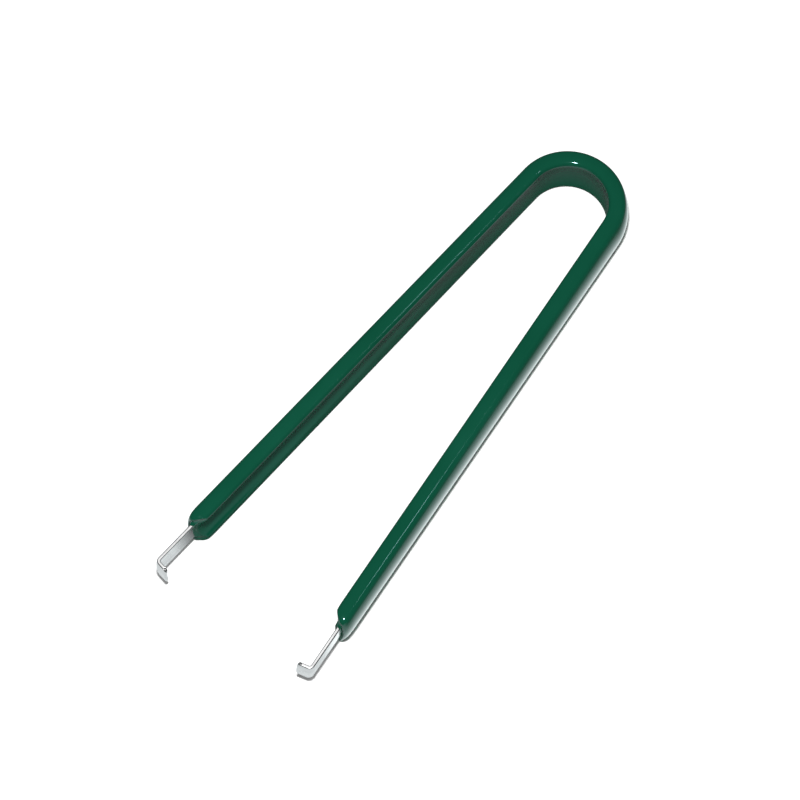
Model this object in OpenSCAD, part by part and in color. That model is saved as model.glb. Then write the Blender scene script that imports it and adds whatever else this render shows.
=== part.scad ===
// Keyboard switch puller: a steel strip bent into a narrow U, dipped in vinyl, with a hook on each leg.
// It lies on the edge of its strip. X runs from the bow to the hooks, Y across, Z up from the table.
// The strip is gutter-shaped in section: its outer face is crowned and its inner face is hollow.

/* [Overall form] */
// Radius of the bow, to the middle of the coated section
bow_radius = 9.65; // [7:0.05:14]
// Angle that each leg leans outward from the long axis, in degrees
splay = 4.5; // [2:0.1:8]
// Straight length of a coated leg, from the bow to the end of its lip
leg_length = 95; // [70:0.5:120]

/* [Vinyl coating] */
// Height of the coated section, across the strip's width
coat_height = 10; // [9:0.1:12]
// Thickness of the coated section, from the crown of its outer face to its lip
coat_thickness = 4; // [3.6:0.1:4.4]
// Radius of the crowned outer face, seen in section
crown_radius = 14; // [12:0.5:24]
// Radius of the rounded edges beside the crowned face
edge_radius = 1.2; // [0.8:0.1:1.4]
// Radius of the lip's rounded edges
lip_radius = 0.8; // [0.5:0.1:1.2]
// Vinyl over the outside of the strip, which is thickest along the crown
coat_skin = 1.4; // [1:0.05:1.6]
// Vinyl over the strip's two edges
edge_skin = 0.9; // [0.7:0.05:1.2]
// Length by which the coating's outer side passes the lip
nose_length = 2.2; // [1.8:0.1:3]

/* [Hollow inner face] */
// Depth of the hollow that runs all the way round the inner face
hollow_depth = 0.35; // [0.2:0.05:0.5]
// Radius of that hollow, seen in section
hollow_radius = 22; // [18:0.5:26]
// Depth of the trough at the end of the leg, below the lips
trough_depth = 1.5; // [0.9:0.1:1.6]
// Radius of the trough, seen in section
trough_radius = 5.5; // [4.5:0.1:6]
// Distance from the bow at which the trough begins to sink below the hollow
trough_start = 28; // [10:1:60]

/* [Steel strip] */
// Thickness of the spring steel
sheet = 0.7; // [0.5:0.05:0.8]
// Width of the bare tab
tab_width = 4.8; // [3.5:0.1:5]
// Length from the end of the lip to the start of the hook's bend
tab_length = 11.2; // [8:0.1:14]
// Reach of the hook, from the tab's outer face to its tip
hook_reach = 3.2; // [2.6:0.1:4]
// Angle that the hook is bent through, in degrees
hook_bend = 82; // [75:1:90]
// Inside radius of the hook's bend
hook_radius = 0.6; // [0.5:0.1:1]
// Radius of the two corners at the hook's tip
hook_corner = 0.7; // [0.3:0.1:1]

/* [Hidden] */
$fn = 72;

steel_colour = [0.78, 0.78, 0.79];
vinyl_colour = [0.03, 0.31, 0.21];

// Distances measured outward from the gap, from the middle of the coated section
outer_face = coat_thickness / 2;
lip_face = -outer_face;
strip_outer = outer_face - coat_skin;
strip_inner = strip_outer - sheet;
crown_centre = outer_face - crown_radius;

// The edge's arc runs from the flat top into the crown, so its centre lies on the line where they meet
edge_turn = acos((coat_height / 2 - edge_radius) / (crown_radius - edge_radius));
edge_centre = crown_centre + (crown_radius - edge_radius) * sin(edge_turn);

// Heights above the table
mid_height = coat_height / 2;
strip_bottom = edge_skin;
strip_top = coat_height - edge_skin;
tab_bottom = mid_height - tab_width / 2;
tab_top = mid_height + tab_width / 2;

// The coated end: the lip stops first, and the nose carries on round the strip
nose_end = leg_length + nose_length;
nose_corner = 1.2;
nose_margin = 0.1;

// The strip narrows to the tab inside the coated end
shoulder_corner = 1;
shoulder_run = 0.5;

// The hook: a bend, then a short arm
bend_outer = hook_radius + sheet;
bend_start = leg_length + tab_length;
bend_axis = strip_outer - bend_outer;
arm_length = (hook_reach - bend_outer * (1 - cos(hook_bend))) / sin(hook_bend);

// Furthest points along the long axis, which put the origin midway between them
tip_along = bend_start + bend_outer * sin(hook_bend) + arm_length * cos(hook_bend);
tip_out = strip_outer - hook_reach;
tip_x = tip_along * cos(splay) - (bow_radius + tip_out) * sin(splay);
bow_x = -(bow_radius + outer_face);
centre_x = (tip_x + bow_x) / 2;

overlap = 5;
arc_steps = 8;

// Points of the arc that rounds corner b, between its neighbours a and c; a corner of radius 0 stays sharp
function unit(v) = v / norm(v);
function corner_points(a, b, c, r) =
    let (
        to_a = unit(a - b),
        to_c = unit(c - b),
        half = acos(to_a * to_c) / 2,
        centre = b + unit(to_a + to_c) * r / sin(half),
        from = b + to_a * r / tan(half) - centre,
        to = b + to_c * r / tan(half) - centre,
        first = atan2(from[1], from[0]),
        turn = atan2(from[0] * to[1] - from[1] * to[0], from * to)
    )
    r == 0 ? [b] : [for (i = [0:arc_steps]) centre + r * [cos(first + turn * i / arc_steps),
                                                        sin(first + turn * i / arc_steps)]];

// Outline with a radius at each corner, from a list of [x, y, radius]
function rounded(corners) = [
    for (i = [0:len(corners) - 1])
        let (
            n = len(corners),
            a = corners[(i + n - 1) % n],
            b = corners[i],
            c = corners[(i + 1) % n]
        )
        each corner_points([a[0], a[1]], [b[0], b[1]], [c[0], c[1]], b[2])
];

// Places its children on a leg: X along the leg from the bow, Y outward from the gap; side is 1 or -1
module on_leg(side) {
    mirror([0, side < 0 ? 1 : 0, 0])
        rotate([0, 0, splay])
            translate([0, bow_radius, 0])
                children();
}

// Sweeps a section round the bow; the section's X is measured outward, its Y is height
module round_bow() {
    rotate([0, 0, 90 + splay])
        rotate_extrude(angle = 180 - 2 * splay)
            translate([bow_radius, 0])
                children();
}

// Sweeps the same section straight along a leg
module along_leg(from, to) {
    translate([from, 0, 0])
        rotate([90, 0, 90])
            linear_extrude(to - from)
                children();
}

// Gives a side view, X along the leg and Y up, its thickness between two distances outward
module side_plate(inner, outer) {
    translate([0, outer, 0])
        rotate([90, 0, 0])
            linear_extrude(outer - inner)
                children();
}

// Section of the steel between two heights: a thin gutter, concentric with the coating's crown
module strip_section(bottom, top) {
    intersection() {
        translate([crown_centre, mid_height])
            difference() {
                circle(crown_radius - coat_skin);
                circle(crown_radius - coat_skin - sheet);
            }
        translate([lip_face, bottom])
            square([coat_thickness, top - bottom]);
    }
}

// Part of the coating's section beside the crown, as far in as the middles of the rounded edges
module crown_section() {
    reach = crown_radius + overlap;
    intersection() {
        translate([crown_centre, mid_height])
            circle(crown_radius);
        translate([crown_centre, mid_height])
            polygon([
                [0, 0],
                [reach * sin(edge_turn), -reach * cos(edge_turn)],
                [reach * sin(edge_turn), reach * cos(edge_turn)]
            ]);
        translate([lip_face + lip_radius, 0])
            square([coat_thickness, coat_height]);
    }
}

// Section of the coating: crowned outside, hollow inside, with a rounded lip above and below
module coat_section() {
    difference() {
        union() {
            crown_section();
            translate([lip_face + lip_radius, 0])
                square([edge_centre - lip_face - lip_radius, coat_height]);
            translate([lip_face, lip_radius])
                square([edge_centre - lip_face, coat_height - 2 * lip_radius]);
            for (z = [lip_radius, coat_height - lip_radius])
                translate([lip_face + lip_radius, z])
                    circle(lip_radius);
            for (z = [edge_radius, coat_height - edge_radius])
                translate([edge_centre, z])
                    circle(edge_radius);
        }
        translate([lip_face + hollow_depth - hollow_radius, mid_height])
            circle(hollow_radius);
    }
}

// Steel leg seen from the side: full width, rounded shoulders, then the narrow tab
module strip_side() {
    polygon(rounded([
        [-overlap, -overlap, 0],
        [leg_length, -overlap, 0],
        [leg_length, strip_bottom, shoulder_corner],
        [leg_length + shoulder_run, tab_bottom, shoulder_corner],
        [nose_end + overlap, tab_bottom, 0],
        [nose_end + overlap, tab_top, 0],
        [leg_length + shoulder_run, tab_top, shoulder_corner],
        [leg_length, strip_top, shoulder_corner],
        [leg_length, coat_height + overlap, 0],
        [-overlap, coat_height + overlap, 0]
    ]));
}

// Hook at the end of the tab: the tab's own section taken round a bend, then on to a rounded tip
module hook() {
    translate([bend_start, bend_axis, 0]) {
        rotate([0, 0, 90 - hook_bend])
            rotate_extrude(angle = hook_bend)
                translate([-bend_axis, 0])
                    strip_section(tab_bottom, tab_top);
        rotate([0, 0, -hook_bend])
            intersection() {
                translate([0, -bend_axis, 0])
                    along_leg(0, arm_length)
                        strip_section(tab_bottom, tab_top);
                side_plate(-overlap, overlap)
                    polygon(rounded([
                        [-overlap, tab_bottom, 0],
                        [arm_length, tab_bottom, hook_corner],
                        [arm_length, tab_top, hook_corner],
                        [-overlap, tab_top, 0]
                    ]));
            }
    }
}

module strip_leg() {
    intersection() {
        along_leg(0, nose_end) strip_section(strip_bottom, strip_top);
        side_plate(lip_face - overlap, outer_face + overlap) strip_side();
    }
    along_leg(nose_end, bend_start) strip_section(tab_bottom, tab_top);
    hook();
}

module strip_solid() {
    round_bow() strip_section(strip_bottom, strip_top);
    for (side = [-1, 1])
        on_leg(side) strip_leg();
}

// Coated leg seen from above: a lip that stops short, and a nose that leans forward to the outer face
module coat_plan() {
    edge = outer_face + nose_margin;
    polygon(rounded([
        [-overlap, -edge, 0],
        [leg_length, -edge, nose_corner],
        [nose_end, strip_inner, nose_corner / 2],
        [nose_end, edge, nose_corner],
        [-overlap, edge, 0]
    ]));
}

// Coated leg seen from the side: square end with its corners rounded
module coat_side() {
    polygon(rounded([
        [-overlap, -nose_margin, 0],
        [nose_end, -nose_margin, nose_corner],
        [nose_end, coat_height + nose_margin, nose_corner],
        [-overlap, coat_height + nose_margin, 0]
    ]));
}

// Trough in the inner face: a round groove whose floor sinks towards the end of the leg
module trough() {
    slope = atan2(trough_depth - hollow_depth, nose_end - trough_start);
    translate([trough_start, lip_face + hollow_depth, 0])
        rotate([0, 0, slope])
            along_leg(-trough_start, nose_end)
                translate([-trough_radius, mid_height])
                    circle(trough_radius);
}

module coat_leg() {
    difference() {
        intersection() {
            along_leg(0, nose_end + overlap) coat_section();
            translate([0, 0, -overlap]) linear_extrude(coat_height + 2 * overlap) coat_plan();
            side_plate(lip_face - overlap, outer_face + overlap) coat_side();
        }
        trough();
    }
}

module spring_strip() {
    color(steel_colour)
        translate([-centre_x, 0, 0])
            strip_solid();
}

module dipped_coating() {
    color(vinyl_colour)
        translate([-centre_x, 0, 0])
            difference() {
                union() {
                    round_bow() coat_section();
                    for (side = [-1, 1])
                        on_leg(side) coat_leg();
                }
                strip_solid();
            }
}

spring_strip();
dipped_coating();
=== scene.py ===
import math

import bmesh
import bpy
import numpy as np
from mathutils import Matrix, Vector


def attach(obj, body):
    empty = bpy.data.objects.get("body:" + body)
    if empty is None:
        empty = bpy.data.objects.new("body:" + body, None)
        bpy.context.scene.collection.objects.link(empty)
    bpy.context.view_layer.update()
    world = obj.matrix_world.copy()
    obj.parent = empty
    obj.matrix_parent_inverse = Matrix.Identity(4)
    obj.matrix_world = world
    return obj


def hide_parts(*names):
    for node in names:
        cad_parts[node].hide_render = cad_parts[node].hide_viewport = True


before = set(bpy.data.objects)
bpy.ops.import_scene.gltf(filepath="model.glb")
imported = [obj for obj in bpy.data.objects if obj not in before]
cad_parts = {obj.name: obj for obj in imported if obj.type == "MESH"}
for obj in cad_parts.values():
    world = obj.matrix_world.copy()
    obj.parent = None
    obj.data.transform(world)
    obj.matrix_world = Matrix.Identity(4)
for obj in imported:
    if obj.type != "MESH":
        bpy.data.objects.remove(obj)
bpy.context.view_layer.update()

# Driving sizes of the part, in millimetres and degrees, as in its source
MM = 0.001
BOW_RADIUS = 9.65
SPLAY = math.radians(4.5)
LEG_LENGTH = 95.0
HEIGHT = 10.0
THICKNESS = 4.0
CROWN_RADIUS = 14.0
EDGE_RADIUS = 1.2
LIP_RADIUS = 0.8
COAT_SKIN = 1.4
EDGE_SKIN = 0.9
NOSE_LENGTH = 2.2
NOSE_MARGIN = 0.1
HOLLOW_DEPTH = 0.35
HOLLOW_RADIUS = 22.0
TROUGH_DEPTH = 1.5
TROUGH_RADIUS = 5.5
TROUGH_START = 28.0
SHEET = 0.7
TAB_WIDTH = 4.8
TAB_LENGTH = 11.2
HOOK_REACH = 3.2
HOOK_BEND = math.radians(82)
HOOK_RADIUS = 0.6
HOOK_CORNER = 0.7

# Distances measured outward from the gap, from the middle of the coated section
OUTER_FACE = THICKNESS / 2
LIP_FACE = -OUTER_FACE
STRIP_OUTER = OUTER_FACE - COAT_SKIN
STRIP_INNER = STRIP_OUTER - SHEET
CROWN_CENTRE = OUTER_FACE - CROWN_RADIUS
EDGE_TURN = math.acos((HEIGHT / 2 - EDGE_RADIUS) / (CROWN_RADIUS - EDGE_RADIUS))
EDGE_CENTRE = CROWN_CENTRE + (CROWN_RADIUS - EDGE_RADIUS) * math.sin(EDGE_TURN)
MID = HEIGHT / 2
NOSE_END = LEG_LENGTH + NOSE_LENGTH
BEND_OUTER = HOOK_RADIUS + SHEET
BEND_START = LEG_LENGTH + TAB_LENGTH
BEND_AXIS = STRIP_OUTER - BEND_OUTER
ARM_LENGTH = (HOOK_REACH - BEND_OUTER * (1 - math.cos(HOOK_BEND))) / math.sin(HOOK_BEND)
TIP_ALONG = BEND_START + BEND_OUTER * math.sin(HOOK_BEND) + ARM_LENGTH * math.cos(HOOK_BEND)
TIP_X = TIP_ALONG * math.cos(SPLAY) - (BOW_RADIUS + STRIP_OUTER - HOOK_REACH) * math.sin(SPLAY)
CENTRE_X = (TIP_X - BOW_RADIUS - OUTER_FACE) / 2

# Softness of the dipped skin, which the solid has as plain corners
CREASE = 0.1
PILLOW = 0.14
END_RUN = 3.0
END_DROP = 0.95
END_POWER = 2.4
END_BLEND = 0.6
LIP_SHARE = 0.2
FLAT_SHARE = 0.45

# Collar of vinyl round the root of each tab, and its steps from the rounded end in to the steel
MENISCUS = 0.45
COLLAR_DIP = 0.22
COLLAR_GAP = 0.02
COLLAR_DEPTH = 0.12
COLLAR_STEPS = (0.12, 0.25, 0.4, 0.55, 0.7, 0.82, 0.9, 0.96, 1.0)
COLLAR_CORNER = 0.9
COLLAR_FACE = math.radians(48)

# The legs of the real one lean a little: their lower edges stand nearer each other at the tips
LEAN = 0.45

# Rounding of the stamped edges of the steel, and the stretch over which it narrows to the tab
STEEL_EDGE = 0.22
SHOULDER_BEFORE = 0.4
SHOULDER_RUN = 1.3

# Points round the coating's outline: the crown, an edge, a flat side, the inner face, and back again
CROWN_POINTS = 30
EDGE_POINTS = 12
FLAT_POINTS = 8
FACE_POINTS = 84
OUTLINE_COUNTS = (CROWN_POINTS, EDGE_POINTS, FLAT_POINTS, FACE_POINTS, FLAT_POINTS, EDGE_POINTS)
OUTLINE_SIZE = sum(OUTLINE_COUNTS)
FACE_START = sum(OUTLINE_COUNTS[:3])

# Points on each face and each rounded corner of the steel, and rings along both pieces
STRIP_FACE = 18
STRIP_CORNER = 6
LEG_STEP = 1.0
BOW_STEPS = 56
END_STRETCH = 7.0

# Brightness of the floor: as the camera sees it near and far, as light bounces off it,
# and as gloss mirrors it, painted light and shade beside the legs, between them and past their tips
FLOOR_SEEN = 1.35
FLOOR_SEEN_FAR = 7.0
FLOOR_PLAIN = 0.85
FLOOR_NEAR = 1.7
FLOOR_FAR = 0.12
FLOOR_BETWEEN = 0.68
FLOOR_BESIDE = 0.08
FLOOR_OPEN = 0.95
FLOOR_COOL = (0.95, 1.0, 1.01)

# Places where that brightness changes: outward from a leg, along the part, and from its middle
AWAY_OUTSIDE = (3.0 * MM, 11 * MM)
AWAY_BETWEEN = (-10 * MM, -3 * MM)
AWAY_SIDE = (-0.5 * MM, 0.5 * MM)
ALONG_BETWEEN = (0, 70 * MM)
ALONG_PAST = (94 * MM, 100 * MM)
FROM_MIDDLE = (0.12, 0.8)
BOW_TO_TIP = (1.7, 0.7)
FLOOR_HALF = 15
FLOOR_UP = -2e-5

# Brightness of the room from the horizon up, as it lights and as gloss mirrors it
SKY_LIGHT = [(0.0, 0.02), (0.35, 0.06), (0.8, 0.2)]
SKY_MIRRORED = [(0.0, 0.10), (0.12, 0.05), (0.5, 0.03), (0.9, 0.05)]

CAMERA_PLACE = (0.389433, 0.263868, 1.039021)
CAMERA_TURN = (24.3615, -0.9221, 126.6091)
CAMERA_LENS = 269.896

# Lamps: name, direction from the middle of the part, distance, width and power
LAMPS = [
    ("overhead_softbox", (0.2, 0.1, 0.97), 0.8, 0.08, 5.3),
    ("side_strip", (-0.33, 0.31, 0.89), 0.8, 0.05, 0.12),
]


def on_leg(side, along, out, up):
    """Points on a leg, in metres: along it from the bow, outward from the gap, and up."""
    out = out - LEAN * np.clip(along / NOSE_END, 0, 1) * (HEIGHT - up) / HEIGHT
    x = -BOW_RADIUS * math.sin(SPLAY) + along * math.cos(SPLAY) - out * math.sin(SPLAY) - CENTRE_X
    y = side * (BOW_RADIUS * math.cos(SPLAY) + along * math.sin(SPLAY) + out * math.cos(SPLAY))
    return np.stack([x, y, up], axis=-1) * MM


def on_bow(angle, out, up):
    """Points round the bow, in metres, at an angle from the long axis."""
    reach = BOW_RADIUS + out
    return np.stack([reach * math.cos(angle) - CENTRE_X, reach * math.sin(angle), up], axis=-1) * MM


def bow_angles(steps):
    """Angles round the bow from the leg at -Y to the leg at +Y, without the two ends."""
    first, last = 1.5 * math.pi - SPLAY, 0.5 * math.pi + SPLAY
    return np.linspace(first, last, steps + 1)[1:-1]


def soft_max(a, b, width):
    """The larger of two values, with a soft change from one to the other."""
    return 0.5 * (a + b + np.sqrt((a - b) ** 2 + width ** 2))


def soft_min(a, b, width):
    """The smaller of two values, with the same soft change."""
    return -soft_max(-a, -b, width)


def inner_face(up, along):
    """The hollow inner face: rounded lips, a shallow hollow, and the trough that sinks below it."""
    rise = np.abs(up - MID)
    over = np.clip(rise - (MID - LIP_RADIUS), 0, LIP_RADIUS)
    lip = LIP_FACE + LIP_RADIUS - np.sqrt(np.maximum(LIP_RADIUS ** 2 - over ** 2, 0))
    hollow = LIP_FACE + HOLLOW_DEPTH - HOLLOW_RADIUS + np.sqrt(HOLLOW_RADIUS ** 2 - rise ** 2)
    sink = (TROUGH_DEPTH - HOLLOW_DEPTH) * (along - TROUGH_START) / (NOSE_END - TROUGH_START)
    floor = LIP_FACE + HOLLOW_DEPTH + sink
    trough = floor - TROUGH_RADIUS + np.sqrt(np.maximum(TROUGH_RADIUS ** 2 - rise ** 2, 0))
    return soft_max(soft_max(lip, hollow, CREASE), trough, CREASE) - CREASE * 0.02


def coat_outline(along):
    """Outline of the coating's section, as distances outward and up, in a fixed number of points."""
    turn = np.linspace(math.pi - EDGE_TURN, EDGE_TURN, CROWN_POINTS)
    crown = (CROWN_CENTRE + CROWN_RADIUS * np.sin(turn), MID + CROWN_RADIUS * np.cos(turn))
    turn = np.linspace(EDGE_TURN, 0, EDGE_POINTS + 1)[1:]
    top_edge = (EDGE_CENTRE + EDGE_RADIUS * np.sin(turn),
                HEIGHT - EDGE_RADIUS + EDGE_RADIUS * np.cos(turn))
    flat = np.linspace(EDGE_CENTRE, LIP_FACE + LIP_RADIUS, FLAT_POINTS + 2)[1:-1]
    top = (flat, np.full(len(flat), HEIGHT))
    swing = np.linspace(math.pi / 2, -math.pi / 2, FACE_POINTS)
    up = MID + MID * np.sin(swing)
    along_face = np.broadcast_to(along, OUTLINE_SIZE)[FACE_START:FACE_START + FACE_POINTS]
    inner = (inner_face(up, along_face), up)
    bottom = (flat[::-1], np.zeros(len(flat)))
    low_edge = (top_edge[0][::-1], HEIGHT - top_edge[1][::-1])
    parts = (crown, top_edge, top, inner, bottom, low_edge)
    out = np.concatenate([part[0] for part in parts])
    up = np.concatenate([part[1] for part in parts])
    middle = (EDGE_CENTRE + LIP_FACE + LIP_RADIUS) / 2
    half = (EDGE_CENTRE - LIP_FACE - LIP_RADIUS) / 2
    off = ((out - middle) / half) ** 2
    return out, MID + (up - MID) * (1 - PILLOW * off / (1 + off) / MID)


def tab_outline(grow):
    """Outline of the bare tab, matched point for point with the coating's outline."""
    half = TAB_WIDTH / 2 + grow
    starts = np.cumsum((0,) + OUTLINE_COUNTS)
    inward, rise = np.zeros(starts[-1]), np.zeros(starts[-1])
    rise[starts[0]:starts[1]] = np.linspace(-half, half, CROWN_POINTS)
    rise[starts[1]:starts[3]] = half
    inward[starts[1]:starts[3]] = np.linspace(0, COLLAR_CORNER, starts[3] - starts[1] + 1)[1:]
    swing = np.sin(np.linspace(math.pi / 2, -math.pi / 2, FACE_POINTS)) / math.sin(COLLAR_FACE)
    rise[starts[3]:starts[4]] = half * np.clip(swing, -1, 1)
    inward[starts[3]:starts[4]] = 1.0
    rise[starts[4]:] = -half
    inward[starts[4]:] = np.linspace(COLLAR_CORNER, 0, starts[6] - starts[4] + 1)[:-1]
    outer = CROWN_CENTRE + np.sqrt((CROWN_RADIUS - COAT_SKIN) ** 2 - rise ** 2) + grow
    return outer - inward * (SHEET + 2 * grow), MID + rise


def end_reach(out):
    """How far along the leg the coated end reaches, at a distance outward."""
    edge = OUTER_FACE + NOSE_MARGIN
    slant = LEG_LENGTH + (out + edge) * NOSE_LENGTH / (STRIP_INNER + edge)
    return soft_min(slant, np.full_like(slant, NOSE_END), END_BLEND)


def end_softness():
    """Share of the end's rounding that each point takes: all outside, little on the thin lips."""
    crown, edge, flat, face = OUTLINE_COUNTS[:4]
    lip = np.full(face, LIP_SHARE)
    shares = [np.ones(crown + edge), np.linspace(1, FLAT_SHARE, flat), lip,
              np.linspace(FLAT_SHARE, 1, flat), np.ones(edge)]
    return smooth_loop(np.concatenate(shares), 4)


def smooth_loop(values, passes):
    """Evens out values round a closed loop."""
    for _ in range(passes):
        values = 0.5 * values + 0.25 * (np.roll(values, 1) + np.roll(values, -1))
    return values


def inset_outline(out, up, depth):
    """The outline drawn in towards its middle by a depth."""
    run_out = smooth_loop(np.roll(out, -1) - np.roll(out, 1), 6)
    run_up = smooth_loop(np.roll(up, -1) - np.roll(up, 1), 6)
    length = np.maximum(np.hypot(run_out, run_up), 1e-9)
    return out - depth * run_up / length, up + depth * run_out / length


def coat_leg_rings(side):
    """Rings of one coated leg, from the bow to the middle of the bare tab."""
    rings = []
    last_plain = LEG_LENGTH - END_STRETCH
    for along in np.arange(0, last_plain, LEG_STEP):
        out, up = coat_outline(along)
        rings.append(on_leg(side, np.full_like(out, along), out, up))
    reach = end_reach(coat_outline(LEG_LENGTH + 1)[0])
    for share in np.linspace(0, 1, 8):
        along = last_plain + (reach - END_RUN - last_plain) * share
        out_here, up_here = coat_outline(along)
        rings.append(on_leg(side, along, out_here, up_here))
    softness = END_DROP * end_softness()
    for turn in np.radians(np.linspace(4, 90, 18)):
        drop = 1 - (1 - math.sin(turn) ** END_POWER) ** (1 / END_POWER)
        along = reach - END_RUN * (1 - math.sin(turn))
        out_here, up_here = coat_outline(along)
        out_here, up_here = inset_outline(out_here, up_here, softness * drop)
        rings.append(on_leg(side, along, out_here, up_here))
    edge_out, edge_up = out_here, up_here
    step = reach - end_reach(edge_out)
    tab_out, tab_up = tab_outline(COLLAR_GAP)
    for share in COLLAR_STEPS:
        out_here = edge_out + (tab_out - edge_out) * share
        up_here = edge_up + (tab_up - edge_up) * share
        climb = MENISCUS * share ** 5 - COLLAR_DIP * math.sin(math.pi * min(share * 1.15, 1))
        along = end_reach(out_here) + step * (1 - share) ** 2 + climb
        rings.append(on_leg(side, along, out_here, up_here))
    tab_out, tab_up = tab_outline(-COLLAR_DEPTH)
    rings.append(on_leg(side, np.full_like(tab_out, NOSE_END), tab_out, tab_up))
    return rings


def coat_rings():
    """Rings of the whole coating, from the tip at -Y round the bow to the tip at +Y."""
    out, up = coat_outline(0)
    bow = [on_bow(angle, out, up) for angle in bow_angles(BOW_STEPS)]
    return coat_leg_rings(-1)[::-1] + bow + coat_leg_rings(1)


def strip_outline(half):
    """Outline of the strip's section: depth below its outer face, and height from its middle."""
    quarter = np.linspace(0, math.pi / 2, STRIP_CORNER)
    face = np.linspace(-(half - STEEL_EDGE), half - STEEL_EDGE, STRIP_FACE)
    edge = np.linspace(STEEL_EDGE, SHEET - STEEL_EDGE, 4)[1:-1]
    near = STEEL_EDGE - STEEL_EDGE * np.cos(quarter)
    bulge = half - STEEL_EDGE + STEEL_EDGE * np.sin(quarter)
    depth = [np.zeros(STRIP_FACE), near[1:], edge, SHEET - near[::-1]]
    height = [face, bulge[1:], np.full(2, half), bulge[::-1]]
    depth += [np.full(STRIP_FACE, SHEET)[1:-1], SHEET - near, edge[::-1], near[::-1][:-1]]
    height += [face[::-1][1:-1], -bulge, np.full(2, -half), -bulge[::-1][:-1]]
    return np.concatenate(depth), np.concatenate(height)


def strip_out(depth, height):
    """Distance outward of a point in the gutter-shaped steel."""
    return CROWN_CENTRE + np.sqrt((CROWN_RADIUS - COAT_SKIN - depth) ** 2 - height ** 2)


def strip_leg_rings(side):
    """Rings of one steel leg, from the bow to the tip of its hook."""
    rings = []
    full, narrow = HEIGHT / 2 - EDGE_SKIN, TAB_WIDTH / 2
    hidden = np.arange(0, LEG_LENGTH - 1, 4)
    shoulder_start = LEG_LENGTH - SHOULDER_BEFORE
    shoulder = np.linspace(shoulder_start, shoulder_start + SHOULDER_RUN, 8)
    bare = np.linspace(LEG_LENGTH + SHOULDER_RUN, BEND_START, 30)
    for along in np.concatenate([hidden, shoulder, bare]):
        share = np.clip((along - shoulder_start) / SHOULDER_RUN, 0, 1)
        share = share * share * (3 - 2 * share)
        depth, height = strip_outline(full + (narrow - full) * share)
        rings.append(on_leg(side, np.full_like(depth, along), strip_out(depth, height), MID + height))
    depth, height = strip_outline(narrow)
    reach = strip_out(depth, height) - BEND_AXIS
    for turn in np.linspace(0, HOOK_BEND, 25)[1:]:
        along = BEND_START + reach * math.sin(turn)
        rings.append(on_leg(side, along, BEND_AXIS + reach * math.cos(turn), MID + height))
    over = np.clip(np.abs(height) - (narrow - HOOK_CORNER), 0, HOOK_CORNER)
    length = ARM_LENGTH - HOOK_CORNER + np.sqrt(np.maximum(HOOK_CORNER ** 2 - over ** 2, 0))

    def arm_ring(arm, reach_here, height_here):
        along = BEND_START + reach_here * math.sin(HOOK_BEND) + arm * math.cos(HOOK_BEND)
        out = BEND_AXIS + reach_here * math.cos(HOOK_BEND) - arm * math.sin(HOOK_BEND)
        return on_leg(side, along, out, MID + height_here)

    for share in np.linspace(0, 1, 9)[1:]:
        rings.append(arm_ring((length - STEEL_EDGE) * share, reach, height))
    for turn in np.radians([25, 50, 70, 90]):
        pull = STEEL_EDGE * (1 - math.cos(turn))
        depth_here = SHEET / 2 + (depth - SHEET / 2) * (1 - 2 * pull / SHEET)
        height_here = height * (1 - pull / narrow)
        reach_here = strip_out(depth_here, height_here) - BEND_AXIS
        rings.append(arm_ring(length - STEEL_EDGE * (1 - math.sin(turn)), reach_here, height_here))
    return rings


def strip_rings():
    """Rings of the whole strip, from hook to hook."""
    depth, height = strip_outline(HEIGHT / 2 - EDGE_SKIN)
    out = strip_out(depth, height)
    bow = [on_bow(angle, out, MID + height) for angle in bow_angles(BOW_STEPS // 2)]
    return strip_leg_rings(-1)[::-1] + bow + strip_leg_rings(1)


def loft(name, rings):
    """A closed mesh through rings of equal length, with both ends filled in."""
    count, size = len(rings), len(rings[0])
    points = np.concatenate(rings)
    faces = []
    for i in range(count - 1):
        here, there = i * size, (i + 1) * size
        for j in range(size):
            k = (j + 1) % size
            faces.append((here + j, here + k, there + k, there + j))
    faces.append(tuple(range(size))[::-1])
    faces.append(tuple((count - 1) * size + j for j in range(size)))
    mesh = bpy.data.meshes.new(name)
    mesh.from_pydata([tuple(p) for p in points], [], faces)
    mesh.validate()
    mesh.update()
    mesh.shade_smooth()
    piece = bpy.data.objects.new(name, mesh)
    bpy.context.scene.collection.objects.link(piece)
    fix_normals(mesh)
    return piece


def fix_normals(mesh):
    """Joins points that fall together, turns faces outward, and keeps the two end caps flat."""
    work = bmesh.new()
    work.from_mesh(mesh)
    bmesh.ops.remove_doubles(work, verts=work.verts, dist=1e-8)
    bmesh.ops.recalc_face_normals(work, faces=work.faces)
    ends = [face for face in work.faces if len(face.verts) > 4]
    for face in ends:
        face.smooth = False
    bmesh.ops.triangulate(work, faces=ends)
    work.to_mesh(mesh)
    work.free()


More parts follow.
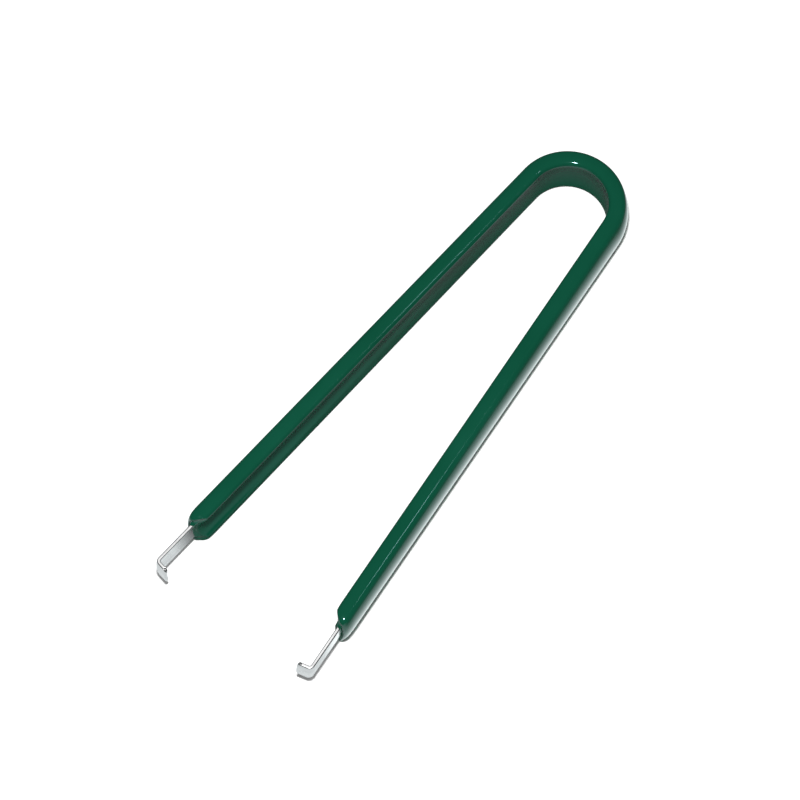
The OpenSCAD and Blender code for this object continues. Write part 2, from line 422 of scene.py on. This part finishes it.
class Nodes:
    """Short hand for building a material's nodes."""

    def __init__(self, name):
        self.material = bpy.data.materials.new(name)
        self.material.use_nodes = True
        self.tree = self.material.node_tree
        self.shader = self.tree.nodes["Principled BSDF"]
        self.coords = self.tree.nodes.new("ShaderNodeTexCoord")

    def add(self, kind, links=(), **values):
        """A node with its values set and its sockets linked."""
        node = self.tree.nodes.new(kind)
        for key, value in values.items():
            if hasattr(node, key):
                setattr(node, key, value)
            else:
                node.inputs[key.replace("_", " ")].default_value = value
        for socket, source in dict(links).items():
            self.tree.links.new(source, node.inputs[socket])
        return node

    def noise(self, scale, detail=3.0, roughness=0.5, stretch=(1, 1, 1)):
        """Noise over the piece, in its own coordinates."""
        place = self.add("ShaderNodeMapping", {"Vector": self.coords.outputs["Object"]})
        place.inputs["Scale"].default_value = stretch
        node = self.add("ShaderNodeTexNoise", {"Vector": place.outputs["Vector"]})
        node.inputs["Scale"].default_value = scale
        node.inputs["Detail"].default_value = detail
        node.inputs["Roughness"].default_value = roughness
        return node.outputs["Fac"]

    def ramp(self, source, stops):
        """Colours along a value."""
        node = self.add("ShaderNodeValToRGB", {"Fac": source})
        while len(node.color_ramp.elements) < len(stops):
            node.color_ramp.elements.new(0.5)
        for element, (place, value) in zip(node.color_ramp.elements, stops):
            element.position = place
            element.color = tuple(value) + (1.0,) if len(value) == 3 else value
        return node.outputs["Color"]

    def spread(self, source, low, high, to_low, to_high):
        """A value stretched from one range to another."""
        node = self.add("ShaderNodeMapRange", {"Value": source})
        names = ("From Min", "From Max", "To Min", "To Max")
        for name, value in zip(names, (low, high, to_low, to_high)):
            node.inputs[name].default_value = value
        return node.outputs["Result"]

    def bump(self, source, strength, depth, after=None):
        """Relief on top of any relief that comes before it."""
        node = self.add("ShaderNodeBump", {"Height": source})
        node.inputs["Strength"].default_value = strength
        node.inputs["Distance"].default_value = depth
        if after is not None:
            self.tree.links.new(after, node.inputs["Normal"])
        return node.outputs["Normal"]

    def feed(self, socket, source):
        """Links a value to the surface."""
        self.tree.links.new(source, self.shader.inputs[socket])

    def blend(self, share, first, second):
        """The first value where the share is 0 and the second where it is 1."""
        rest = self.maths("SUBTRACT", 1, share)
        return self.maths("ADD", self.maths("MULTIPLY", share, second),
                          self.maths("MULTIPLY", rest, first))

    def maths(self, kind, *terms):
        """One sum on values or numbers."""
        node = self.tree.nodes.new("ShaderNodeMath")
        node.operation = kind
        for socket, term in zip(node.inputs, terms):
            if isinstance(term, (int, float)):
                socket.default_value = term
            else:
                self.tree.links.new(term, socket)
        return node.outputs[0]


def vinyl_material():
    """Glossy dipped vinyl: deep green, drifting faintly, with ripples left by draining and specks."""
    made = Nodes("dipped_vinyl")
    drift = made.noise(55, 4, 0.55)
    tint = made.ramp(drift, [(0.25, (0.0036, 0.078, 0.040)), (0.55, (0.0048, 0.088, 0.047)),
                             (0.8, (0.0068, 0.100, 0.056))])
    specks = made.noise(2600, 1, 0.4)
    dust = made.spread(specks, 0.76, 0.82, 0, 0.35)
    paint = made.add("ShaderNodeMix", data_type="RGBA")
    made.tree.links.new(dust, paint.inputs["Factor"])
    made.tree.links.new(tint, paint.inputs[6])
    paint.inputs[7].default_value = (0.05, 0.16, 0.11, 1)
    made.feed("Base Color", paint.outputs[2])
    sheen = made.noise(240, 3, 0.6)
    made.feed("Roughness", made.spread(sheen, 0.3, 0.7, 0.05, 0.11))
    ripple = made.bump(made.noise(150, 2, 0.45, (0.35, 1, 1)), 0.25, 0.00006)
    grain = made.bump(made.noise(900, 2, 0.5), 0.12, 0.00001, ripple)
    made.feed("Normal", grain)
    made.shader.inputs["IOR"].default_value = 1.42
    made.shader.inputs["Specular Tint"].default_value = (0.58, 1.0, 1.1, 1)
    return made.material


def steel_material():
    """Bright rolled spring steel: rolling lines along the tab, smudges, and matt sheared edges, painted
    pale where they face up as a painted highlight of the lamp.
    """
    made = Nodes("rolled_steel")
    lines = made.noise(420, 4, 0.6, (0.05, 1, 8))
    smudge = made.noise(700, 3, 0.55)
    speckle = made.noise(3200, 2, 0.6)
    facing = made.add("ShaderNodeSeparateXYZ", {"Vector": made.coords.outputs["Normal"]}).outputs["Z"]
    # Upward-facing edges: rougher and less metallic like a matt sheared edge, and painted pale, a
    # painted highlight of the overhead lamp on them
    edge = made.spread(facing, 0.93, 0.995, 0, 1)
    tint = made.ramp(lines, [(0.3, (0.56, 0.565, 0.57)), (0.7, (0.69, 0.69, 0.69))])
    # The pale colour on the upward edges is a painted highlight, not the steel's own colour
    colour_with_painted_edge_highlight = made.add("ShaderNodeMix", data_type="RGBA")
    made.tree.links.new(edge, colour_with_painted_edge_highlight.inputs["Factor"])
    made.tree.links.new(tint, colour_with_painted_edge_highlight.inputs[6])
    colour_with_painted_edge_highlight.inputs[7].default_value = (0.92, 0.92, 0.92, 1)
    made.feed("Base Color", colour_with_painted_edge_highlight.outputs[2])
    plain = made.spread(smudge, 0.3, 0.75, 0.16, 0.32)
    rough = made.maths("ADD", plain, made.maths("MULTIPLY", edge, 0.2))
    made.feed("Roughness", rough)
    scratches = made.bump(lines, 0.25, 0.000012)
    pits = made.bump(speckle, 0.2, 0.000008, scratches)
    made.feed("Normal", made.bump(smudge, 0.15, 0.00001, pits))
    made.feed("Metallic", made.maths("SUBTRACT", 1, made.maths("MULTIPLY", edge, 0.6)))
    return made.material


def floor_material():
    """Plain white floor, a little over white where it is seen, so that only deep shade shows on it;
    what gloss mirrors of it is painted light and painted shade by place.
    """
    made = Nodes("white_floor")
    made.shader.inputs["Roughness"].default_value = 1.0
    made.shader.inputs["Specular IOR Level"].default_value = 0.0
    split = made.add("ShaderNodeSeparateXYZ", {"Vector": made.coords.outputs["Object"]})
    along = made.maths("ADD", split.outputs["X"], CENTRE_X * MM)
    across = made.maths("ABSOLUTE", split.outputs["Y"])
    behind = made.maths("MINIMUM", along, 0)
    squares = [made.maths("MULTIPLY", part, part) for part in (behind, across)]
    reach = made.maths("SQRT", made.maths("ADD", *squares))
    spread = made.maths("MULTIPLY", made.maths("MAXIMUM", along, 0), math.tan(SPLAY))
    away = made.maths("SUBTRACT", made.maths("SUBTRACT", reach, spread), BOW_RADIUS * MM)
    # Painted light and shade that only gloss sees: a painted pool of light just outside the legs,
    # fading outward, and painted shade close beside and between them, with a faint cool tint
    outside = made.spread(away, *AWAY_OUTSIDE, FLOOR_NEAR, FLOOR_FAR)
    inside = made.spread(away, *AWAY_BETWEEN, FLOOR_BETWEEN, FLOOR_BESIDE)
    between = made.maths("MULTIPLY", inside, made.spread(along, *ALONG_BETWEEN, *BOW_TO_TIP))
    side = made.spread(away, *AWAY_SIDE, 0, 1)
    beside = made.blend(side, between, outside)
    past = made.spread(along, *ALONG_PAST, 0, 1)
    mirrored = made.blend(past, beside, FLOOR_OPEN)
    path = made.add("ShaderNodeLightPath")
    glossy = path.outputs["Is Glossy Ray"]
    camera_ray = made.maths("MAXIMUM", path.outputs["Is Camera Ray"],
                            path.outputs["Is Transmission Ray"])
    plain = made.maths("SUBTRACT", made.maths("SUBTRACT", 1, glossy), camera_ray)
    glint = made.maths("MULTIPLY", glossy, mirrored)
    apart = made.add("ShaderNodeVectorMath", {"Vector": made.coords.outputs["Object"]},
                     operation="LENGTH").outputs["Value"]
    seen = made.spread(apart, *FROM_MIDDLE, FLOOR_SEEN, FLOOR_SEEN_FAR)
    shade = made.maths("ADD", made.maths("MULTIPLY", camera_ray, seen),
                       made.maths("MULTIPLY", plain, FLOOR_PLAIN))
    channels = [made.maths("ADD", shade, made.maths("MULTIPLY", glint, cool)) for cool in FLOOR_COOL]
    colour = made.add("ShaderNodeCombineXYZ", dict(zip("XYZ", channels)))
    made.feed("Base Color", colour.outputs["Vector"])
    return made.material


coating = loft("vinyl_coating", coat_rings())
coating.data.materials.append(vinyl_material())
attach(coating, "root")
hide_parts("dipped_coating")

strip = loft("steel_strip", strip_rings())
strip.data.materials.append(steel_material())
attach(strip, "root")
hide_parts("spring_strip")

floor_mesh = bpy.data.meshes.new("floor")
corners = [(x * FLOOR_HALF, y * FLOOR_HALF, FLOOR_UP) for x, y in ((-1, -1), (1, -1), (1, 1), (-1, 1))]
floor_mesh.from_pydata(corners, [], [(0, 1, 2, 3)])
floor = bpy.data.objects.new("floor", floor_mesh)
floor_mesh.materials.append(floor_material())
bpy.context.scene.collection.objects.link(floor)


def studio():
    """A room that is dim where gloss mirrors it, and gives soft light from overhead."""
    world = bpy.data.worlds.new("studio")
    bpy.context.scene.world = world
    world.use_nodes = True
    tree = world.node_tree
    background = tree.nodes["Background"]
    coords = tree.nodes.new("ShaderNodeTexCoord")
    split = tree.nodes.new("ShaderNodeSeparateXYZ")
    tree.links.new(coords.outputs["Generated"], split.inputs["Vector"])

    def sky(stops):
        ramp = tree.nodes.new("ShaderNodeValToRGB")
        tree.links.new(split.outputs["Z"], ramp.inputs["Fac"])
        while len(ramp.color_ramp.elements) < len(stops):
            ramp.color_ramp.elements.new(0.5)
        for element, (place, value) in zip(ramp.color_ramp.elements, stops):
            element.position = place
            element.color = (value, value, value, 1)
        return ramp.outputs["Color"]

    path = tree.nodes.new("ShaderNodeLightPath")
    mirrored = tree.nodes.new("ShaderNodeMix")
    mirrored.data_type = "RGBA"
    tree.links.new(path.outputs["Is Glossy Ray"], mirrored.inputs["Factor"])
    tree.links.new(sky(SKY_LIGHT), mirrored.inputs[6])
    tree.links.new(sky(SKY_MIRRORED), mirrored.inputs[7])
    seen = tree.nodes.new("ShaderNodeMix")
    seen.data_type = "RGBA"
    tree.links.new(path.outputs["Is Camera Ray"], seen.inputs["Factor"])
    tree.links.new(mirrored.outputs[2], seen.inputs[6])
    seen.inputs[7].default_value = (1, 1, 1, 1)
    tree.links.new(seen.outputs[2], background.inputs["Color"])
    background.inputs["Strength"].default_value = 1.0


def lamp(name, direction, distance, size, power):
    """A round soft light that points at the middle of the part, in metres and watts."""
    data = bpy.data.lights.new(name, "AREA")
    data.shape = "DISK"
    data.size = size
    data.energy = power
    made = bpy.data.objects.new(name, data)
    towards = Vector(direction).normalized()
    made.location = towards * distance
    made.rotation_mode = "QUATERNION"
    made.rotation_quaternion = towards.to_track_quat("Z", "Y")
    bpy.context.scene.collection.objects.link(made)
    return made


studio()
for values in LAMPS:
    lamp(*values)

camera_data = bpy.data.cameras.new("camera")
camera_data.lens = CAMERA_LENS
camera_data.sensor_width = 36
camera_data.clip_start = 0.05
camera_data.clip_end = 60
camera = bpy.data.objects.new("camera", camera_data)
camera.location = CAMERA_PLACE
camera.rotation_euler = [math.radians(angle) for angle in CAMERA_TURN]
bpy.context.scene.collection.objects.link(camera)
bpy.context.scene.camera = camera
bpy.context.scene.view_settings.view_transform = "Standard"

bpy.context.view_layer.update()
